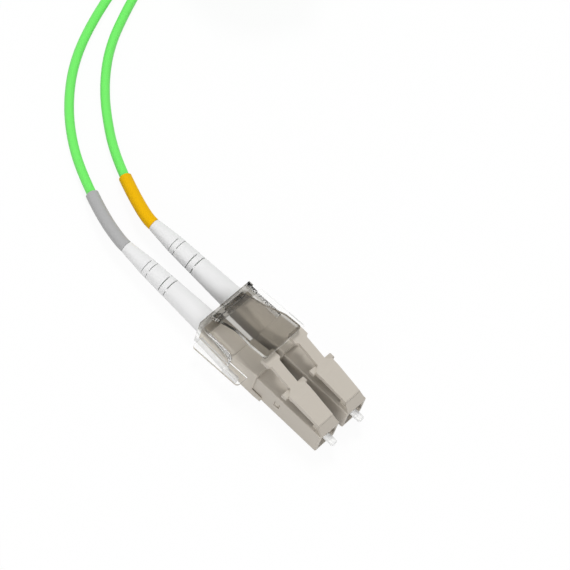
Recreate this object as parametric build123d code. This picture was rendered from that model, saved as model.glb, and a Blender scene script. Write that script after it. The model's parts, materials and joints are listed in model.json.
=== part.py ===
from build123d import *
import math
import os

os.makedirs("parts", exist_ok=True)

# Driving dimensions in millimetres.
# A station is a distance behind the front face of the plug.
pitch = 6.25
axis_height = 2.5
running_gap = 0.03
touch_gap = 0.05

nose_width = 4.42
nose_height = 4.52
nose_edge = 0.2
front_chamfer = 0.12
mouth_size = 3.5
mouth_corner = 0.5
mouth_depth = 2.6
partition = 0.8
guide_bore = 1.5
chamber_size = 3.6
housing_end = 15.05
window_front = 8.4
window_length = 1.1
window_height = 1.3
window_lift = 0.3

ferrule_diameter = 1.25
ferrule_projection = 1.7
ferrule_length = 6.5
bare_end = 2.55
shank_diameter = 0.9
tip_chamfer = 0.2
flange_length = 1.8
flange_width = 2.7
stem_diameter = 1.8
stem_end = 8.4
push_back = 1.0

wire = 0.28
spring_mean = 2.25
spring_turns = 5
spring_seat = 10.6
spring_bore = 2.65

ramp_width = 4.04
crease_station = 1.4
crease_rise = 1.5
crease_width = 3.2
pivot_back = 0.35
pivot_rise = 0.74
bead_radius = 0.5
split_station = 1.18
split_gap = 0.04
seat_rear = 2.3
seat_rise = 0.44
arm_thickness = 0.8
arm_width = 3.75
patch_stations = (6.5, 7.4)
patch_rises = (0.94, 0.96)
stem_station = 13.0
stem_rise = 2.39
arm_stem_width = 1.75
arm_stem_thickness = 0.88
tail_rear = 14.8
tail_rise = 2.46
tail_thickness = 0.85
tail_width = 2.7
tail_corner = 0.3
lug_front = 7.75
lug_length = 1.0
lug_span = 4.8
lug_rise = 0.84
lug_thickness = 0.8
lug_edge = 0.15

neck_front = 7.6
tab_height = 0.35
fibre_bore = 1.3
block_front = 13.75
block_rear = 19.0
block_width = 5.0
block_tops = (5.85, 4.75)
block_edge = 0.25
tongue_front = 11.8
tongue_height = 1.35
tongue_ramp = 0.16
joint_gap = 0.12
joint_depth = 0.6
recess_front = 16.45
recess_length = 2.4
recess_depth = 0.45
tail_end = 25.6
neck_width = (4.2, 4.0)
neck_top = (4.6, 4.55)
neck_bottom = 0.45
neck_edge = 0.9
post_diameter = 2.3
post_length = 3.6

yarn_thickness = 0.1
yarn_front = 25.75
ring_thickness = 0.3
ring_front = 25.9
ring_length = 3.2
fibre_diameter = 0.9
fibre_front = 6.5

cord_diameter = 1.6
cord_start = 30.4
boot_end = 44.3
boot_radii = (2.1, 1.525, 1.1)
boot_waist = 39.5
boot_cavity = 3.2
boot_slots = ((4.8, -32.0, 0.12), (5.8, 50.0, 0.12), (8.8, -32.0, 0.18), (9.95, 50.0, 0.18))
slot_bridge = 0.5
sleeve_outer = 2.15
sleeve_lengths = (11.2, 10.0)

strap_front = 16.5
strap_length = 2.3
strap_thickness = 0.42
clip_side = 3.2
clip_low_top = 1.2
wall_front = 19.05
wall_inner = 2.15
wall_outer = (2.97, 2.5)
wall_tops = (4.6, 5.0)
wall_corner = 1.2
clip_rear = 26.2
bridge_front = 24.2
bridge_top = 5.38
bridge_lip = 5.95
finger_length = 0.86
finger_reach = 0.6
barb_length = 0.52
barb_start = 0.04
strap_stop = 0.66
hook_inset = (0.175, 0.575)
hook_top = 1.5
wing_outer = 4.775
wing_inner = 2.575
wing_front = 15.2
wing_rear = 25.0
wing_heights = (3.5, 2.7)
wing_thickness = 0.45

trigger_pivot = (25.3, 5.5)
trigger_bead = 0.55
trigger_crown = (19.8, 8.6)
trigger_front = 14.2
trigger_rise = 0.98
trigger_thickness = 0.75
trigger_root_side = 0.175
trigger_front_side = 0.925
trigger_flare = (21.0, 17.5)
trigger_corner = 0.5
lip_length = 0.6
lip_gap = 0.09

coil_turns = 4
coil_layers = 4
coil_radius = 12.2
tie_thickness = 0.4
tie_width = 2.5

# Sizes that follow from the driving dimensions.
front_x = (boot_end + ferrule_projection) / 2 - ferrule_projection
nose_bottom = axis_height - nose_height / 2
nose_top = axis_height + nose_height / 2
flange_front = mouth_depth + partition
flange_rear = flange_front + flange_length
ferrule_rear = ferrule_length - ferrule_projection
window_rear = window_front + window_length
cord_radius = cord_diameter / 2
stem_bore = fibre_diameter + 2 * running_gap
crease_height = nose_top + crease_rise
latch_pivot = (crease_station + pivot_back, nose_top + pivot_rise)
seat_top = nose_top + seat_rise
patch_front = (patch_stations[0], crease_height + patch_rises[0])
patch_rear = (patch_stations[1], crease_height + patch_rises[1])
stem_top = (stem_station, crease_height + stem_rise)
tail_top = crease_height + tail_rise
lug_top = crease_height + lug_rise
bridge_bottom = neck_top[0] + touch_gap
trigger_root = (trigger_pivot[0], trigger_pivot[1] + trigger_bead)
trigger_tip = (trigger_front, tail_top + trigger_rise)
trigger_half_root = pitch / 2 + trigger_root_side
trigger_half_front = pitch / 2 + trigger_front_side
over_all = 2 * block_tops[0]
cord_exit = front_x - boot_end

# Corners of the two cords behind the boots, from the boot to the coil.
route_a = [
    (cord_exit + 0.6, -pitch / 2, axis_height),
    (cord_exit - 1.4, -pitch / 2, axis_height),
    (-28.9, -2.0, 2.15),
    (-34.6, 0.4, 1.35),
    (-39.6, 2.85, 0.85),
    (-43.2, 5.1, 0.8),
    (-46.5, 7.7, 0.8),
    (-49.5, 10.7, 0.8),
    (-52.3, 14.2, 0.8),
    (-54.8, 18.4, 0.8),
    (-56.9, 23.3, 0.8),
    (-58.7, 28.6, 0.8),
    (-60.3, 34.4, 0.8),
    (-62.2, 41.6, 0.8),
    (-64.1, 49.7, 1.0),
    (-65.3, 57.6, 1.2),
]
route_b = [
    (cord_exit + 0.6, pitch / 2, axis_height),
    (cord_exit - 1.4, pitch / 2, axis_height),
    (-28.6, 4.55, 2.15),
    (-34.0, 7.0, 1.35),
    (-38.4, 9.5, 0.85),
    (-41.9, 12.0, 0.8),
    (-45.0, 14.5, 0.8),
    (-47.8, 17.3, 0.8),
    (-50.4, 20.5, 0.8),
    (-52.6, 24.1, 0.8),
    (-54.4, 28.1, 0.8),
    (-56.2, 32.6, 0.8),
    (-58.2, 38.3, 0.8),
    (-60.9, 45.0, 1.3),
    (-63.4, 51.4, 2.6),
    (-65.3, 57.6, 2.83),
]


def block(front, rear, y_low, y_high, z_low, z_high):
    """Box between two stations and its side, bottom and top planes."""
    middle = (front_x - (front + rear) / 2, (y_low + y_high) / 2, (z_low + z_high) / 2)
    return Pos(*middle) * Box(rear - front, y_high - y_low, z_high - z_low)


def rod(front, rear, radius):
    """Cylinder on the plug axis between two stations."""
    middle = (front_x - (front + rear) / 2, 0, axis_height)
    return Pos(*middle) * Rot(0, 90, 0) * Cylinder(radius, rear - front)


def cross_rod(centre, radius, y_low, y_high):
    """Cylinder across the plug at a (station, height) centre."""
    middle = (front_x - centre[0], (y_low + y_high) / 2, centre[1])
    return Pos(*middle) * Rot(90, 0, 0) * Cylinder(radius, y_high - y_low)


def slab(outline, y_low, y_high):
    """Side outline of (station, height) corners, made solid between two side planes."""
    corners = [(front_x - station, y_low, height) for station, height in outline]
    face = make_face(Polyline(*corners, close=True))
    return extrude(face, amount=y_high - y_low, dir=(0, 1, 0))


def plan(outline, z_low, z_high):
    """Half plan of (station, half width) corners, mirrored and made solid in height."""
    left = [(front_x - station, half, z_low) for station, half in outline]
    right = [(front_x - station, -half, z_low) for station, half in reversed(outline)]
    face = make_face(Polyline(*left, *right, close=True))
    return extrude(face, amount=z_high - z_low, dir=(0, 0, 1))


def lathe(outline):
    """Outline of (station, radius) corners turned about the plug axis."""
    corners = [(front_x - station, 0, axis_height + radius) for station, radius in outline]
    face = make_face(Polyline(*corners, close=True))
    return revolve(face, Axis((0, 0, axis_height), (1, 0, 0)))


def make_housing():
    """Front housing with its mouth, flange chamber, snap windows and latch root."""
    half = nose_width / 2
    body = block(0, housing_end, -half, half, nose_bottom, nose_top)
    body = fillet(body.edges().filter_by(Axis.X), nose_edge)
    body = chamfer(body.faces().sort_by(Axis.X)[-1].edges(), front_chamfer)

    # The latch root rises from the front edge and ends in a round seat.
    ramp_foot = nose_top - front_chamfer
    rise = (crease_height - ramp_foot) / crease_station
    split = (split_station, ramp_foot + rise * split_station)
    side = [(0.0, ramp_foot), split, latch_pivot, (seat_rear, seat_top), (seat_rear, nose_top - nose_edge)]
    side.append((0.0, nose_top - nose_edge))
    root = slab(side, -half, half)
    half_plan = [(0.0, ramp_width / 2)]
    half_plan += [(crease_station, crease_width / 2), (seat_rear, crease_width / 2)]
    root = root & plan(half_plan, 0, over_all)
    body = body + (root & block(front_chamfer / 2, seat_rear, -half, half, 0, over_all))
    body = body - cross_rod(latch_pivot, bead_radius + running_gap, -half, half)

    mouth_half = mouth_size / 2
    mouth_low = axis_height - mouth_half
    mouth = block(-1, mouth_depth, -mouth_half, mouth_half, mouth_low, mouth_low + mouth_size)
    mouth = fillet(mouth.edges().filter_by(Axis.X), mouth_corner)
    room = chamber_size / 2
    chamber = block(flange_front, housing_end + 1, -room, room, axis_height - room, axis_height + room)
    chamber = fillet(chamber.edges().filter_by(Axis.X), nose_edge)
    window_low = axis_height + window_lift - window_height / 2
    window = block(window_front, window_rear, -half - 1, half + 1, window_low, window_low + window_height)
    return body - mouth - chamber - window - rod(0, flange_front + 1, guide_bore / 2)


def make_latch():
    """Sprung latch arm with its bead, lugs, stem and T-shaped tail."""
    ramp_foot = nose_top - front_chamfer
    rise = (crease_height - ramp_foot) / crease_station
    split = (split_station, ramp_foot + rise * split_station)
    run = (split[0] - latch_pivot[0], split[1] - latch_pivot[1])
    length = math.hypot(*run)
    shift = (run[1] / length * split_gap, -run[0] / length * split_gap)
    foot = (latch_pivot[0] + shift[0], latch_pivot[1] + shift[1])
    tip_station = split_station + shift[0]
    tip = (tip_station, ramp_foot + rise * tip_station)

    slope = (stem_top[1] - patch_rear[1]) / (stem_top[0] - patch_rear[0])
    top = [foot, tip, (crease_station, crease_height), patch_front, patch_rear, stem_top]
    top += [(stem_top[0] + (tail_top - stem_top[1]) / slope, tail_top), (tail_rear, tail_top)]
    arm_slope = (patch_front[1] - crease_height) / (patch_front[0] - crease_station)
    under_front = crease_height + arm_slope * (seat_rear - crease_station) - arm_thickness
    bottom = [(tail_rear, tail_top - tail_thickness), (stem_top[0], tail_top - tail_thickness)]
    bottom += [(patch_rear[0], patch_rear[1] - arm_stem_thickness)]
    bottom += [(patch_front[0], patch_front[1] - arm_thickness), (seat_rear, under_front)]
    half = lug_span / 2
    side = slab(top + bottom, -half, half)

    stem_half = arm_stem_width / 2
    widths = [(0.0, ramp_width / 2), (crease_station, crease_width / 2)]
    widths += [(patch_rear[0], arm_width / 2), (lug_front + 0.1 * lug_length, arm_width / 2)]
    widths += [(lug_front + 0.7 * lug_length, stem_half), (stem_top[0] - tail_corner, stem_half)]
    widths += [(stem_top[0], stem_half + tail_corner)]
    widths += [(stem_top[0], tail_width / 2), (tail_rear, tail_width / 2)]
    outline = plan(widths, 0, over_all)
    corners = outline.edges().filter_by(Axis.Z).group_by(Axis.X)[0]
    outline = fillet(corners, tail_corner)
    arm = side & outline
    lugs = block(lug_front, lug_front + lug_length, -half, half, lug_top - lug_thickness, lug_top)
    lugs = chamfer(lugs.edges().filter_by(Axis.Y).group_by(Axis.Z)[-1], lug_edge)
    bead = cross_rod(latch_pivot, bead_radius, -crease_width / 2, crease_width / 2)
    return arm + lugs + bead


def make_ferrule():
    """Ceramic ferrule with a bevelled tip and a slimmer shank in the flange."""
    radius = ferrule_diameter / 2
    shank = shank_diameter / 2
    front = -ferrule_projection
    outline = [(front, 0), (front, radius - tip_chamfer), (front + tip_chamfer, radius), (bare_end, radius)]
    outline += [(bare_end, shank), (ferrule_rear, shank), (ferrule_rear, 0)]
    return lathe(outline)


def make_flange():
    """Hexagonal flange and stem tube that hold the ferrule."""
    hexagon = Plane((front_x - flange_rear, 0, axis_height), x_dir=(0, 0, 1), z_dir=(1, 0, 0))
    head = extrude(hexagon * RegularPolygon(flange_width / 2, 6, major_radius=False), amount=flange_length)
    body = head + rod(flange_rear - 0.2, stem_end, stem_diameter / 2)
    body = body - rod(flange_front - 1, ferrule_rear, shank_diameter / 2)
    return body - rod(ferrule_rear - 0.2, stem_end + 1, stem_bore / 2)


def make_spring():
    """Coil spring between the flange and its seat in the rear body."""
    height = spring_seat - flange_rear - wire
    start = (front_x - spring_seat + wire / 2, 0, axis_height)
    helix = Helix(height / spring_turns, height, spring_mean / 2, center=start, direction=(1, 0, 0))
    section = Plane(helix @ 0, z_dir=helix % 0) * RegularPolygon(wire / 2, 4)
    return sweep(section, path=helix, is_frenet=True)


def make_rear_body():
    """Rear body with the snap neck, the block, the tapered tail and the crimp post."""
    neck_half = chamber_size / 2 - touch_gap
    low = axis_height - neck_half
    neck = block(neck_front, block_rear, -neck_half, neck_half, low, axis_height + neck_half)
    neck = fillet(neck.edges().filter_by(Axis.X), nose_edge)
    half = block_width / 2
    outline = [(block_front, 0), (block_front, block_tops[0]), (block_rear, block_tops[1]), (block_rear, 0)]
    shell = slab(outline, -half, half)
    top = shell.faces().sort_by(Axis.Z)[-1]
    shell = fillet(top.edges() + shell.edges().filter_by(Axis.Z), block_edge)
    tongue = block(tongue_front, block_front + 1, -half, half, 0, tongue_height)
    tongue = tongue - slab(
        [(tongue_front, -1), (tongue_front, tongue_ramp), (block_front - 0.5, 0), (block_front - 0.5, -1)],
        -half, half,
    )
    socket_half = nose_width / 2 + running_gap
    socket_low = nose_bottom - running_gap
    socket_high = nose_top + running_gap
    socket = block(0, housing_end, -socket_half, socket_half, socket_low, socket_high)
    socket = fillet(socket.edges().filter_by(Axis.X), nose_edge)
    # A narrow groove marks the joint between the block and the front housing.
    groove_half = socket_half + joint_gap
    groove = block(
        tongue_front - 1, block_front + joint_depth, -groove_half, groove_half,
        tongue_height - joint_depth, nose_top + running_gap + joint_gap,
    )
    root = block_rear - block_edge
    side = [(root, neck_bottom), (tail_end, neck_bottom), (tail_end, neck_top[1]), (root, neck_top[0])]
    tail = slab(side, -half, half)
    tail = tail & plan([(root, neck_width[0] / 2), (tail_end, neck_width[1] / 2)], 0, over_all)
    long_edges = tail.edges().filter_by(lambda edge: edge.length > tail_end - block_rear)
    tail = fillet(long_edges, neck_edge)
    body = shell + tongue + tail - socket - groove + neck
    body = body - block(recess_front, recess_front + recess_length, -half - 1, half + 1, -1, recess_depth)

    # Two ramped tabs catch in the windows of the front housing.
    tab_low = axis_height + window_lift - window_height / 2 + touch_gap
    tab_high = tab_low + window_height - 2 * touch_gap
    reach = neck_half + tab_height
    front = window_front + touch_gap
    rear = window_rear - touch_gap
    for side_sign in (-1, 1):
        inner = side_sign * (neck_half - 0.3)
        outer = side_sign * reach
        foot = [(front, inner), (front, side_sign * (neck_half + 0.08)), (front + 0.6, outer)]
        foot += [(rear, outer), (rear, inner)]
        corners = [(front_x - station, y, tab_low) for station, y in foot]
        face = make_face(Polyline(*corners, close=True))
        body = body + extrude(face, amount=tab_high - tab_low, dir=(0, 0, 1))
    body = body + rod(tail_end - 0.5, tail_end + post_length, post_diameter / 2)
    body = body - rod(neck_front - 1, spring_seat, spring_bore / 2)
    return body - rod(spring_seat - 0.5, tail_end + post_length + 1, fibre_bore / 2)


def make_yarn():
    """Strength yarn folded over the crimp post and drawn down to the cord."""
    inner = post_diameter / 2
    outer = inner + yarn_thickness
    bend = tail_end + post_length + touch_gap
    outline = [(yarn_front, inner), (yarn_front, outer), (bend, outer), (cord_start, cord_radius - 0.1)]
    outline += [(cord_start, cord_radius - 0.25), (bend, inner)]
    return lathe(outline)


def make_ring():
    """Crimp ring over the yarn."""
    inner = post_diameter / 2 + yarn_thickness
    outer = inner + ring_thickness
    rear = ring_front + ring_length
    return lathe([(ring_front, inner), (ring_front, outer), (rear, outer), (rear, inner)])


def make_boot():
    """Tapered boot with its crimp cavity, cord bore and bridged slots."""
    big, waist, small = boot_radii
    bore = cord_radius + running_gap
    cavity = boot_cavity / 2
    outline = [(tail_end, cavity), (tail_end, big), (boot_waist, waist), (boot_end - 0.25, small)]
    outline += [(boot_end, small - 0.2), (boot_end, bore), (cord_start, bore), (cord_start, cavity)]
    body = lathe(outline)
    for from_end, angle, width in boot_slots:
        station = boot_end - from_end
        ring = rod(station - width / 2, station + width / 2, big + 1)
        bridge = Box(1, slot_bridge, 4 * big)
        bridge = Pos(front_x - station, 0, axis_height) * Rot(angle, 0, 0) * bridge
        body = body - (ring - bridge)
    return body


def corner_radii(route):
    """Radius of the arc at each inner corner of a cord route."""
    radii = []
    for before, corner, after in zip(route, route[1:], route[2:]):
        first = Vector(*corner) - Vector(*before)
        second = Vector(*after) - Vector(*corner)
        turn = math.radians(first.get_angle(second))
        radii.append(0.45 * min(first.length, second.length) / math.tan(turn / 2))
    return radii


def make_cord(route):
    """Cord from the yarn, through the boot and along its route to the coil."""
    start = (front_x - cord_start, route[0][1], route[0][2])
    radii = corner_radii(route)
    lead = Line(start, route[0])
    bends = FilletPolyline(*route, radius=radii)
    path = Wire([*lead.edges(), *bends.edges()])
    section = Plane(start, z_dir=(-1, 0, 0)) * Circle(cord_radius)
    cord = sweep(section, path=path)
    expected = math.pi * cord_radius**2 * path.length
    print("cord radii", [round(radius, 1) for radius in radii])
    print("cord length", round(path.length, 2), "volume ratio", round(cord.volume / expected, 4))
    return cord


def make_sleeve(route, length):
    """Marking sleeve of a given length on the cord, from the end of the boot."""
    start = (cord_exit, route[0][1], route[0][2])
    bends = FilletPolyline(start, *route[1:6], radius=corner_radii(route)[:4])
    section = Circle(sleeve_outer / 2) - Circle(cord_radius + running_gap / 2)
    tube = sweep(Plane(start, z_dir=(-1, 0, 0)) * section, path=bends)
    share = length / bends.length
    return split(tube, bisect_by=Plane(bends @ share, z_dir=bends % share), keep=Keep.BOTTOM)


def make_clip_hook():
    """Finger, barb and upright hook of clip half a, in the gap between the connectors."""
    finger_rear = strap_front + finger_length
    finger = block(strap_front, finger_rear, -strap_stop - 0.2, finger_reach, 0, strap_thickness)
    barb = block(strap_front, finger_rear + barb_length, barb_start, finger_reach, 0, strap_thickness)
    hook = block(strap_front, finger_rear, -hook_inset[1], -hook_inset[0], 0, hook_top)
    return finger + barb + hook


def make_clip_shell():
    """Outer wall, wing, strap and half of the pivot bridge of clip half a."""
    centre = -pitch / 2
    outer = centre - clip_side
    inner = centre - block_width / 2
    strap_rear = strap_front + strap_length
    low_wall = block(strap_front, wall_front + strap_thickness, outer, inner, 0, clip_low_top)
    side = [(wall_front, 0), (wall_front, wall_tops[0]), (clip_rear, wall_tops[1]), (clip_rear, 0)]
    wall = slab(side, outer, centre - wall_inner)
    wall = fillet(wall.edges().filter_by(Axis.Y).group_by(Axis.X)[-1].sort_by(Axis.Z)[-1:], wall_corner)
    taper = plan([(wall_front, wall_outer[0]), (clip_rear, wall_outer[1])], 0, over_all)
    wall = wall & (Pos(0, centre, 0) * taper)
    edge = centre - wall_outer[1]
    strap = block(strap_front, strap_rear, outer, -strap_stop, 0, strap_thickness)
    bridge = block(bridge_front, clip_rear, edge, -running_gap, bridge_bottom, bridge_top)
    lip = block(trigger_pivot[0], clip_rear, edge, -running_gap, bridge_bottom, bridge_lip)
    post = block(bridge_front, clip_rear, edge, centre - wall_inner, wall_tops[0] / 2, bridge_top)
    front_height, rear_height = wing_heights
    fin = slab(
        [(wing_front, front_height), (wing_rear, rear_height),
         (wing_rear, rear_height - wing_thickness), (wing_front, front_height - wing_thickness)],
        centre - wing_outer, centre - wing_inner,
    )
    corner = fin.edges().filter_by(Axis.Z).group_by(Axis.Y)[0]
    fin = fillet(corner, 0.6)
    trough = cross_rod(trigger_pivot, trigger_bead + running_gap, -trigger_half_root - touch_gap, 0)
    return low_wall + wall + strap + bridge + lip + post + fin - trough


def make_trigger():
    """Curved lever with its pivot bead, its flared front and the lip over the latches."""
    profile = (trigger_root, trigger_crown, trigger_tip)
    root, middle, tip = [(front_x - station, 0, height) for station, height in profile]
    top_edge = ThreePointArc(root, middle, tip)
    centre = top_edge.arc_center
    under = []
    for point in (root, middle, tip):
        inward = (centre - Vector(*point)).normalized() * trigger_thickness
        under.append(Vector(*point) + inward)
    face = make_face([
        top_edge.edge(),
        Line(tip, under[2]).edge(),
        ThreePointArc(under[2], under[1], under[0]).edge(),
        Line(under[0], root).edge(),
    ])
    wide = trigger_half_front
    plate = extrude(face, amount=wide, dir=(0, 1, 0), both=True)
    front = trigger_front
    lip_top = trigger_tip[1] - trigger_thickness / 2
    lip = block(front, front + lip_length, -wide, wide, tail_top + lip_gap, lip_top)
    flare_rear, flare_front = trigger_flare
    outline = plan(
        [(front, wide), (flare_front, wide), (flare_rear, trigger_half_root),
         (trigger_pivot[0] + 1, trigger_half_root)],
        0, over_all,
    )
    corners = outline.edges().filter_by(Axis.Z).group_by(Axis.X)[-1]
    outline = fillet(corners, trigger_corner)
    bead = cross_rod(trigger_pivot, trigger_bead, -trigger_half_root, trigger_half_root)
    return ((plate + lip) & outline) + bead


def coil_middle():
    """Centre of the coil, one coil radius to the right of the end of the routes."""
    return route_a[-1][0] + coil_radius, route_a[-1][1]


def make_coil():
    """Outer shape of the wound length of both cords."""
    outer = coil_radius + cord_radius
    inner = coil_radius - (coil_turns + 0.5) * cord_diameter
    height = 2 * coil_layers * cord_diameter
    ring = Cylinder(outer, height) - Cylinder(inner, height)
    ring = chamfer(ring.edges(), cord_radius)
    x, y = coil_middle()
    return Pos(x, y, tie_thickness + height / 2) * ring


def make_tie():
    """Flat tie round one side of the coil."""
    outer = coil_radius + cord_radius
    inner = coil_radius - (coil_turns + 0.5) * cord_diameter
    near = math.sqrt(inner**2 - (tie_width / 2) ** 2)
    height = 2 * coil_layers * cord_diameter
    size = (outer - near, tie_width, height)
    x, y = coil_middle()
    loop = Box(size[0] + 2 * tie_thickness, size[1], size[2] + 2 * tie_thickness)
    loop = loop - Box(size[0], size[1] + 1, size[2])
    return Pos(x + (outer + near) / 2, y, tie_thickness + height / 2) * loop


def main():
    """Make every node and write it as a STEP file."""
    side_a = Pos(0, -pitch / 2, 0)
    side_b = Pos(0, pitch / 2, 0)
    twins = {
        "front_housing": make_housing(),
        "latch_arm": make_latch(),
        "ferrule": make_ferrule(),
        "ferrule_flange": make_flange(),
        "ferrule_spring": make_spring(),
        "rear_body": make_rear_body(),
        "aramid_yarn": make_yarn(),
        "crimp_ring": make_ring(),
        "boot": make_boot(),
        "buffered_fibre": rod(fibre_front, cord_start, fibre_diameter / 2),
    }
    nodes = {}
    for name, shape in twins.items():
        nodes[name + "_a"] = side_a * shape
        nodes[name + "_b"] = side_b * shape
    nodes["cord_a"] = make_cord(route_a)
    nodes["cord_b"] = make_cord(route_b)
    nodes["id_sleeve_a"] = make_sleeve(route_a, sleeve_lengths[0])
    nodes["id_sleeve_b"] = make_sleeve(route_b, sleeve_lengths[1])
    # The hook of half b is the hook of half a turned half round, so the two catch each other.
    shell = make_clip_shell()
    hook = make_clip_hook()
    turn_x = front_x - strap_front - strap_length / 2
    turned = Pos(turn_x, 0, 0) * Rot(0, 0, 180) * Pos(-turn_x, 0, 0) * hook
    nodes["clip_half_a"] = shell + hook
    nodes["clip_half_b"] = mirror(shell, about=Plane.XZ) + turned
    nodes["trigger"] = make_trigger()
    nodes["cord_coil"] = make_coil()
    nodes["coil_tie"] = make_tie()
    for name, shape in nodes.items():
        export_step(shape, os.path.join("parts", name + ".step"))
        print(name, round(shape.volume, 3), len(shape.solids()))


main()
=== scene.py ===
"""Looks of a duplex LC fibre connector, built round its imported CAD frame."""
from __future__ import annotations

import json
import logging
import math
from dataclasses import dataclass
from enum import Enum

import bpy
from mathutils import Matrix, Vector

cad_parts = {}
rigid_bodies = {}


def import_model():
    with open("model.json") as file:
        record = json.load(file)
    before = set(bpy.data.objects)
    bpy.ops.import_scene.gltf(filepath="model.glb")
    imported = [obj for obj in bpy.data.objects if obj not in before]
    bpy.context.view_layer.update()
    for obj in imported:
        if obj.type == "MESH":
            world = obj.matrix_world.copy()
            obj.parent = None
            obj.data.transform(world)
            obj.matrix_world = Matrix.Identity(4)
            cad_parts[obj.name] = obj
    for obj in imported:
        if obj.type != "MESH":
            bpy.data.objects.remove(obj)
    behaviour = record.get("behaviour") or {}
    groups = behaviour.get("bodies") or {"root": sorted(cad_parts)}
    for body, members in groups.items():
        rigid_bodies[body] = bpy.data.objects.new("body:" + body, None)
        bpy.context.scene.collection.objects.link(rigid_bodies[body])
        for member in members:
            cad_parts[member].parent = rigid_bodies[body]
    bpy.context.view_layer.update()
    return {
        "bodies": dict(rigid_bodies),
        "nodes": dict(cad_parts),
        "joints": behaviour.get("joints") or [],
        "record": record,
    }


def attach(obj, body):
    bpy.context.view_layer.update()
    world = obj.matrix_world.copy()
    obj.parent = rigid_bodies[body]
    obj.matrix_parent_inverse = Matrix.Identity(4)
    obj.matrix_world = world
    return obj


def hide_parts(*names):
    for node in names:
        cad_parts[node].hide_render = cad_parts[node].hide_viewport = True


LOG = logging.getLogger("lc_connector")
MM = 0.001

Point = tuple[float, float, float]
Color = tuple[float, float, float]
Shade = tuple[float, float, float, float]

WHITE: Shade = (1.0, 1.0, 1.0, 1.0)


class Texture(Enum):
    """Kinds of fine surface detail."""

    MOULDED = "moulded"
    EXTRUDED = "extruded"
    TURNED = "turned"
    POLISHED = "polished"
    FIBROUS = "fibrous"


EVEN: Point = (1.0, 1.0, 1.0)

# Scale of the detail's coordinates along X, Y and Z. A low scale draws the detail out.
STRETCHES: dict[Texture, Point] = {
    Texture.EXTRUDED: (0.25, 1.0, 1.0),
    Texture.TURNED: (1.0, 0.2, 0.2),
    Texture.FIBROUS: (0.1, 1.0, 1.0),
}


@dataclass(frozen=True)
class DetailMix:
    """How the fine surface detail of every finish is mixed from two noises.

    Attributes:
        fine_octaves: Octaves of the fine noise.
        fine_roughness: Roughness of the fine noise.
        broad_octaves: Octaves of the broad noise.
        broad_scale: Scale of the broad noise as a share of the fine one's.
        fine_share: Share of the fine noise in the mix.
        gloss_swing: How far the roughness swings with the detail.
        bump_strength: Strength of the bump.
    """

    fine_octaves: float = 5.0
    fine_roughness: float = 0.55
    broad_octaves: float = 3.0
    broad_scale: float = 0.12
    fine_share: float = 0.7
    gloss_swing: float = 0.18
    bump_strength: float = 0.6


@dataclass(frozen=True)
class PaintedShade:
    """Darker tint of a clear piece's upper part, painted shade for the shadow on the parts seen through
    it.

    Attributes:
        color: Linear colour of the tint, the painted shade.
        height: Height at which the tint starts, in millimetres.
        fade: Height over which the tint comes in, in millimetres.
    """

    color: Color
    height: float
    fade: float


@dataclass(frozen=True)
class MilkyFoot:
    """Milky lowest part of a clear piece, which keeps its ends from rendering black.

    Attributes:
        height: Height of the milky part, in millimetres.
        fade: Height over which it ends, in millimetres.
        share: Share of milk in its surface.
        roughness: Roughness of the milk.
    """

    height: float
    fade: float
    share: float
    roughness: float


@dataclass(frozen=True)
class Finish:
    """Look of one material slot.

    Attributes:
        slot: Name of the record's material slot.
        color: Linear base colour.
        roughness: Middle roughness.
        texture: Kind of fine detail.
        grain: Size of the fine detail, in millimetres.
        bump: Height of the fine detail, in millimetres.
        variation: Share by which the colour wanders.
        metallic: Metallic weight.
        coat: Coat weight.
        clear: Share of light that passes through.
        refraction: How strongly the surface bends light, 1 for not at all.
        shine: Strength of the plain mirroring, 0.5 for that of most plastics.
        painted_shade: Painted shade, a darker tint of the upper part, where there is one.
        foot: Milky lowest part, where there is one.
    """

    slot: str
    color: Color
    roughness: float
    texture: Texture = Texture.MOULDED
    grain: float = 0.25
    bump: float = 0.004
    variation: float = 0.04
    metallic: float = 0.0
    coat: float = 0.0
    clear: float = 0.0
    refraction: float = 1.49
    shine: float = 0.5
    painted_shade: PaintedShade | None = None
    foot: MilkyFoot | None = None


FINISHES: tuple[Finish, ...] = (
    Finish("housing_beige", (0.56, 0.515, 0.45), 0.45, grain=0.18, bump=0.003),
    Finish("ceramic_white", (0.96, 0.96, 0.95), 0.2, Texture.POLISHED, 0.6, 0.0006, 0.02, coat=0.2),
    Finish("flange_metal", (0.62, 0.61, 0.58), 0.3, Texture.TURNED, 0.08, 0.002, 0.05, metallic=1.0),
    Finish("spring_steel", (0.55, 0.55, 0.56), 0.28, Texture.TURNED, 0.06, 0.001, 0.05, metallic=1.0),
    Finish("aramid", (0.80, 0.62, 0.16), 0.7, Texture.FIBROUS, 0.05, 0.01, 0.15),
    Finish("crimp_steel", (0.66, 0.66, 0.68), 0.32, Texture.TURNED, 0.1, 0.002, 0.05, metallic=1.0),
    Finish("boot_white", (0.86, 0.86, 0.86), 0.5, Texture.MOULDED, 0.22, 0.003, 0.02),
    Finish("buffer_white", (0.85, 0.85, 0.85), 0.4, Texture.EXTRUDED, 0.1, 0.001, 0.02),
    Finish("cord_green", (0.175, 0.89, 0.14), 0.38, Texture.EXTRUDED, 0.16, 0.002, 0.05),
    Finish(
        "clip_clear", (0.985, 0.983, 0.975), 0.1, Texture.POLISHED, 1.4, 0.001, 0.005,
        # The clip's upper part is tinted darker as painted shade for the shadow on the parts beneath
        # it.
        clear=1.0, refraction=1.28, painted_shade=PaintedShade((0.55, 0.535, 0.505), 3.5, 0.4),
        foot=MilkyFoot(1.25, 0.1, 0.5, 0.4),
    ),
    Finish("sleeve_grey", (0.44, 0.44, 0.44), 0.45, Texture.EXTRUDED, 0.14, 0.002, 0.04),
    Finish(
        "sleeve_yellow", (0.89, 0.495, 0.002), 0.45, Texture.EXTRUDED, 0.14, 0.002, 0.04, shine=0.1
    ),
    Finish("tie_white", (0.85, 0.85, 0.85), 0.4, Texture.MOULDED, 0.3, 0.003, 0.02),
)


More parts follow.
